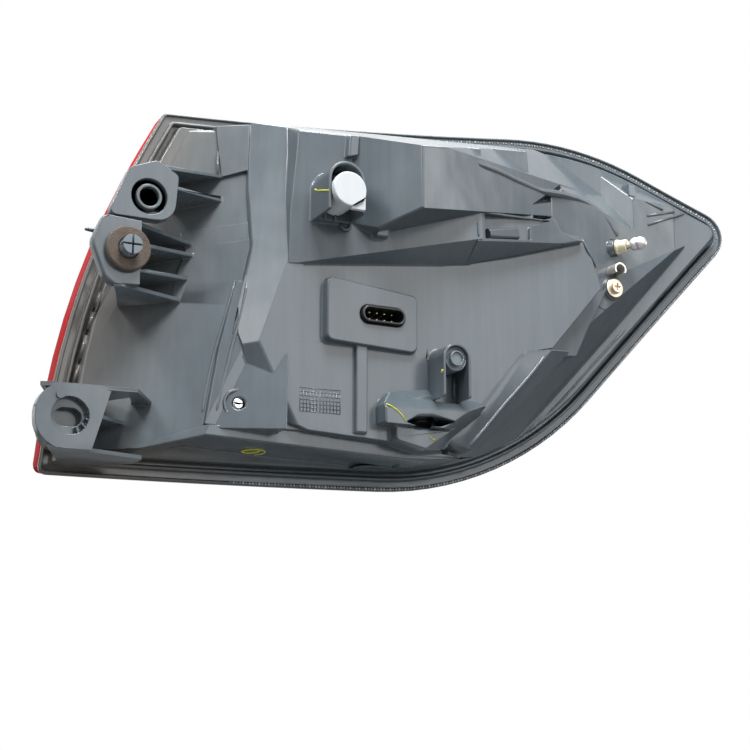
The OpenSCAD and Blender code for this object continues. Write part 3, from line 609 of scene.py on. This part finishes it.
# Bezel and reflectors: the bezel is silver-grey plastic moulded flat behind the lens, and the two bowls are
# polyester with vapour-coated aluminium, pressed in small pillows that break the bulb's image up.

# Fine aluminium flake in the plastic makes it a soft even silver.
bezel_grey = plastic("silver grey bezel plastic", "#8b9196", 0.34, sink=0.1)
dress(rounded_copy("inner_bezel", "bezel", 0.6), bezel_grey)
PILLOW_MM = 6.25
TOOL_MARK_DEPTH = 0.0003


def metal(name, colour, roughness, mottle_mm=2.0, bump=0.1, cells=False):
    """Metal: its own colour in the reflections, mottled gloss, and marks of the tool as fine bump."""
    material, tree = fresh(name)
    place = add(tree, "ShaderNodeTexCoord")
    spots = add(tree, "ShaderNodeTexNoise", Vector=place.outputs["Object"], Scale=1000 / mottle_mm,
                Detail=4.0)
    shape = spots
    if cells:
        shape = add(tree, "ShaderNodeTexVoronoi", {"feature": "SMOOTH_F1"},
                    Vector=place.outputs["Object"], Scale=1000 / PILLOW_MM)
    tone = add(tree, "ShaderNodeMapRange", _0=spots.outputs["Fac"], **NOISE, _3=0.86, _4=1.06)
    tint = add(tree, "ShaderNodeVectorMath", {"operation": "SCALE"},
               _0=srgb(colour)[:3], Scale=tone.outputs[0])
    gloss = add(tree, "ShaderNodeMapRange", _0=spots.outputs["Fac"], **NOISE,
                _3=roughness * 0.75, _4=roughness * 1.35)
    dents = add(tree, "ShaderNodeBump", Strength=bump, Distance=TOOL_MARK_DEPTH,
                Height=shape.outputs["Distance" if cells else "Fac"])
    body = add(tree, "ShaderNodeBsdfPrincipled", Base_Color=tint.outputs[0], Roughness=gloss.outputs[0],
               Normal=dents.outputs[0], Metallic=1.0)
    add(tree, "ShaderNodeOutputMaterial", Surface=body.outputs[0])
    return material


# Aluminium boiled on to smooth polyester is a near-perfect mirror, dimmed only by its pillows.
mirror = metal("vapour-coated aluminium", "#ccd1d5", 0.08, 5.0, 0.6, cells=True)
for node in ("upper_reflector", "lower_reflector"):
    dress(rounded_copy(node, node + "_bowl", 0.3), mirror)

# Bulbs and their holders: blown glass bulbs with an amber coat for the turn lamp, in nylon bayonet holders.
# The upper holder is natural white nylon, the lower grey and the side one black.

# A thin coat of amber lacquer on the glass: strongly coloured, with a hard gloss.
amber = acrylic("amber coated glass", "#d9782a", 0.05, level=0.5, ior=1.5)
# Blown soda glass: colourless and very smooth, so it shows by its highlights alone.
clear_glass = acrylic("clear bulb glass", "#f1f4f5", 0.01, level=0.5, ior=1.5)
dress(rounded_copy("upper_bulb", "amber_bulb", 0.4, sharp=30), amber)
dress(rounded_copy("lower_bulb", "clear_bulb", 0.3, sharp=30), clear_glass)
dress(rounded_copy("side_bulb", "small_bulb", 0.3, sharp=30), clear_glass)
# Undyed nylon is milky, so its highlights are broad and its shading soft.
white_nylon = plastic("natural white nylon", "#c4c9cd", 0.38, sink_mm=8.0, sink=0.15, cloud=0.03)
# Dyed nylon from the same kind of mould as the housing, a little lighter and duller than it.
grey_nylon = plastic("grey nylon", "#67727a", 0.34)
# The glass fibres show in the skin as a faint grain, which greys the highlights.
black_nylon = plastic("black glass-filled nylon", "#1b1d1f", 0.36, grain=0.1)
dress(rounded_copy("upper_bulb_holder", "white_holder", 0.9), white_nylon)
dress(rounded_copy("lower_bulb_holder", "grey_holder", 0.5), grey_nylon)
dress(rounded_copy("side_bulb_holder", "black_holder", 0.5), black_nylon)

# Two raised rings on the head of the grey holder, each by its radius and its Y.
RING_X, RING_Z = 174.4, -75.9
RINGS = ((6.3, -18.6), (3.9, -20.6))
RING_WIRE = 0.55
rings = bmesh.new()
for radius, y in RINGS:
    turned = [(RING_X + radius * math.cos(math.radians(a)), y, RING_Z + radius * math.sin(math.radians(a)))
              for a in range(0, 361, 12)]
    rod(rings, turned, RING_WIRE, 6)
placed(rings, "holder_rings", grey_nylon)

# Plug socket: a black nylon insert pushed into the plug pad, with tinned brass blades in two rows.
# The pad's mouth guides the car's plug, and the blades stand free inside it.
dress(rounded_copy("plug_socket", "socket_insert", 0.6), black_nylon)
# Dipped tin over brass: pale, with the yellow of the brass through it and a soft gloss.
tinned = metal("tinned brass", "#cbbf9d", 0.28, 0.8, 0.08)
dress(rounded_copy("contact_pins", "blades", 0.2), tinned)

# Locating stud: zinc-plated steel with a ball end, pressed into a cream nylon collar in the housing's post.
# Beside it sit the cross screw, whose washer has yellowed plating, and a curled sheet-steel clip.

# Zinc plate over a turned ball: bright but not a mirror, and without the lathe's marks.
ball_steel = metal("polished zinc plate", "#dcdadb", 0.44, 6.0, 0.0)
dress(rounded_copy("ball_stud", "stud", 0.2, sharp=38, flat=False), ball_steel)
# The ball is turned on a narrow neck, with a small centre hole in its end. Its axis leans out from the lamp.
BALL_R = 4.05
NECK_R, NECK_BACK, NECK_FRONT = 2.3, -5.2, -3.5
BALL_FROM, BALL_TO, BALL_STEP = 36, 158, 6
HOLE_RIM_R, HOLE_RIM, HOLE_R, HOLE_FLOOR = 1.3, 3.75, 0.9, 3.4
BALL_CENTRE = (0.30685, -0.01093, 0.015)
STUD_AXIS = Vector((0.5, -0.8660254, 0))
ball = bmesh.new()
profile = [Vector((NECK_R, 0, NECK_BACK)), Vector((NECK_R, 0, NECK_FRONT))]
for angle in range(BALL_FROM, BALL_TO, BALL_STEP):
    a = math.radians(angle)
    profile.append(BALL_R * Vector((math.sin(a), 0, -math.cos(a))))
for reach, along in ((HOLE_RIM_R, HOLE_RIM), (HOLE_R, HOLE_FLOOR), (0, HOLE_FLOOR)):
    profile.append(Vector((reach, 0, along)))
outline = [ball.verts.new(p / 1000) for p in profile]
edges = [ball.edges.new(pair) for pair in zip(outline, outline[1:])]
bmesh.ops.spin(ball, geom=outline + edges, cent=(0, 0, 0), axis=(0, 0, 1), angle=math.tau, steps=40,
               use_merge=True)
bmesh.ops.remove_doubles(ball, verts=ball.verts, dist=MERGE_WITHIN / 2)
bmesh.ops.holes_fill(ball, edges=[e for e in ball.edges if e.is_boundary])
lean = STUD_AXIS.to_track_quat("Z", "Y").to_matrix()
bmesh.ops.rotate(ball, verts=ball.verts, cent=(0, 0, 0), matrix=lean)
bmesh.ops.translate(ball, verts=ball.verts, vec=BALL_CENTRE)
placed(ball, "stud_ball", ball_steel)
# Old natural nylon: cream, and a little waxy.
cream = plastic("cream nylon", "#d8d3b4", 0.4, sink_mm=4.0)
dress(rounded_copy("stud_collar", "collar", 0.5), cream)
# Chromated zinc that has dulled: warm, with a broken shine.
yellowed = metal("yellowed zinc plate", "#d8cbb8", 0.38, 1.2, 0.12)
dress(rounded_copy("earth_screw", "washer_screw", 0.35), yellowed)
# Rolled steel sheet, cut and curled: pale, with a wide soft shine.
sheet = metal("bright sheet steel", "#e2ddd6", 0.5, 1.5, 0.1)
dress(nodes["wire_clip"], sheet)

# Foam washer and bush on the middle lug: the washer is die-cut open-cell foam that seals against the body,
# held by a split nylon bush that takes the screw.

# The cells are cut open at the face, so the foam drinks the light and shows brown dust in its pores.
FOAM_CELLS_PER_M = 1400.0
DUST_PER_M = 180.0
CELL_DEPTH = 0.0004
foam, foam_tree = fresh("die-cut foam rubber")
foam_place = add(foam_tree, "ShaderNodeTexCoord")
cells = add(foam_tree, "ShaderNodeTexVoronoi", Vector=foam_place.outputs["Object"], Scale=FOAM_CELLS_PER_M)
dust = add(foam_tree, "ShaderNodeTexNoise", Vector=foam_place.outputs["Object"], Scale=DUST_PER_M,
           Detail=6.0)
worn = add(foam_tree, "ShaderNodeMix", {"data_type": "RGBA"}, _0=dust.outputs["Fac"],
           _6=srgb("#4c4540"), _7=srgb("#756a61"))
pores = add(foam_tree, "ShaderNodeBump", Strength=0.7, Distance=CELL_DEPTH,
            Height=cells.outputs["Distance"])
foam_body = add(foam_tree, "ShaderNodeBsdfPrincipled", Base_Color=worn.outputs[2], Roughness=0.95,
                Normal=pores.outputs[0], Specular_IOR_Level=0.2)
add(foam_tree, "ShaderNodeOutputMaterial", Surface=foam_body.outputs[0])
dress(rounded_copy("foam_washer", "seal_washer", 0.9), foam)
dress(rounded_copy("lug_bush", "split_bush", 0.15), grey_nylon)

# Slotted screw in the floor: it aims the lamp and is turned steel with bright zinc plate, screwed into a
# ring of the housing. The plate is clean, so the head mirrors the sky with a slight haze.
zinc = metal("bright zinc", "#d6d9db", 0.24, 1.0, 0.08)
dress(rounded_copy("aiming_screw", "slotted_screw", 0.3), zinc)

# Crayon marks: short strokes of yellow wax that an inspector leaves on the finished lamp.
# They lie on the bays, on the lower block and, as a flat loop, on the underside.
BAY_STROKE = [(94.1, -5.9, 14.8), (94.1, -10, 12.6), (94.1, -15.5, 11.0), (94.1, -24.6, 8.0)]
HOOD_STROKE = [(134.6, -12.6, -103.6), (137, -13.1, -104.6), (140.4, -13.1, -106.3), (143.6, -13.1, -108.9),
               (146.4, -13.0, -112.6)]
BAY_TICK = [(165.5, -20.2, -83.0), (165.5, -19.0, -84.6)]
LOW_TICK = [(166.8, -8.1, -120.4), (164.1, -8.1, -119.0)]
LOOP_X, LOOP_Y, LOOP_Z = 74, 33, -126.7
LOOP_WIDE, LOOP_DEEP, LOOP_DRIFT_X, LOOP_DRIFT_Y = 5.5, 7.5, 0.45, 0.4
loop = [(LOOP_X + LOOP_WIDE * math.cos(k / 10 * math.tau) + k * LOOP_DRIFT_X,
         LOOP_Y + LOOP_DEEP * math.sin(k / 10 * math.tau) + k * LOOP_DRIFT_Y, LOOP_Z) for k in range(13)]
marks = bmesh.new()
for stroke, radius in ((BAY_STROKE, 0.4), (BAY_TICK, 0.6), (HOOD_STROKE, 0.4), (LOW_TICK, 0.45),
                       (loop, 0.4)):
    rod(marks, stroke, radius, 6)
# Wax is greasy and opaque: even yellow, with a dull broken surface.
wax = plastic("yellow wax crayon", "#cfcd3c", 0.55, sink=0.0, grain=0.4)
placed(marks, "crayon_marks", wax)
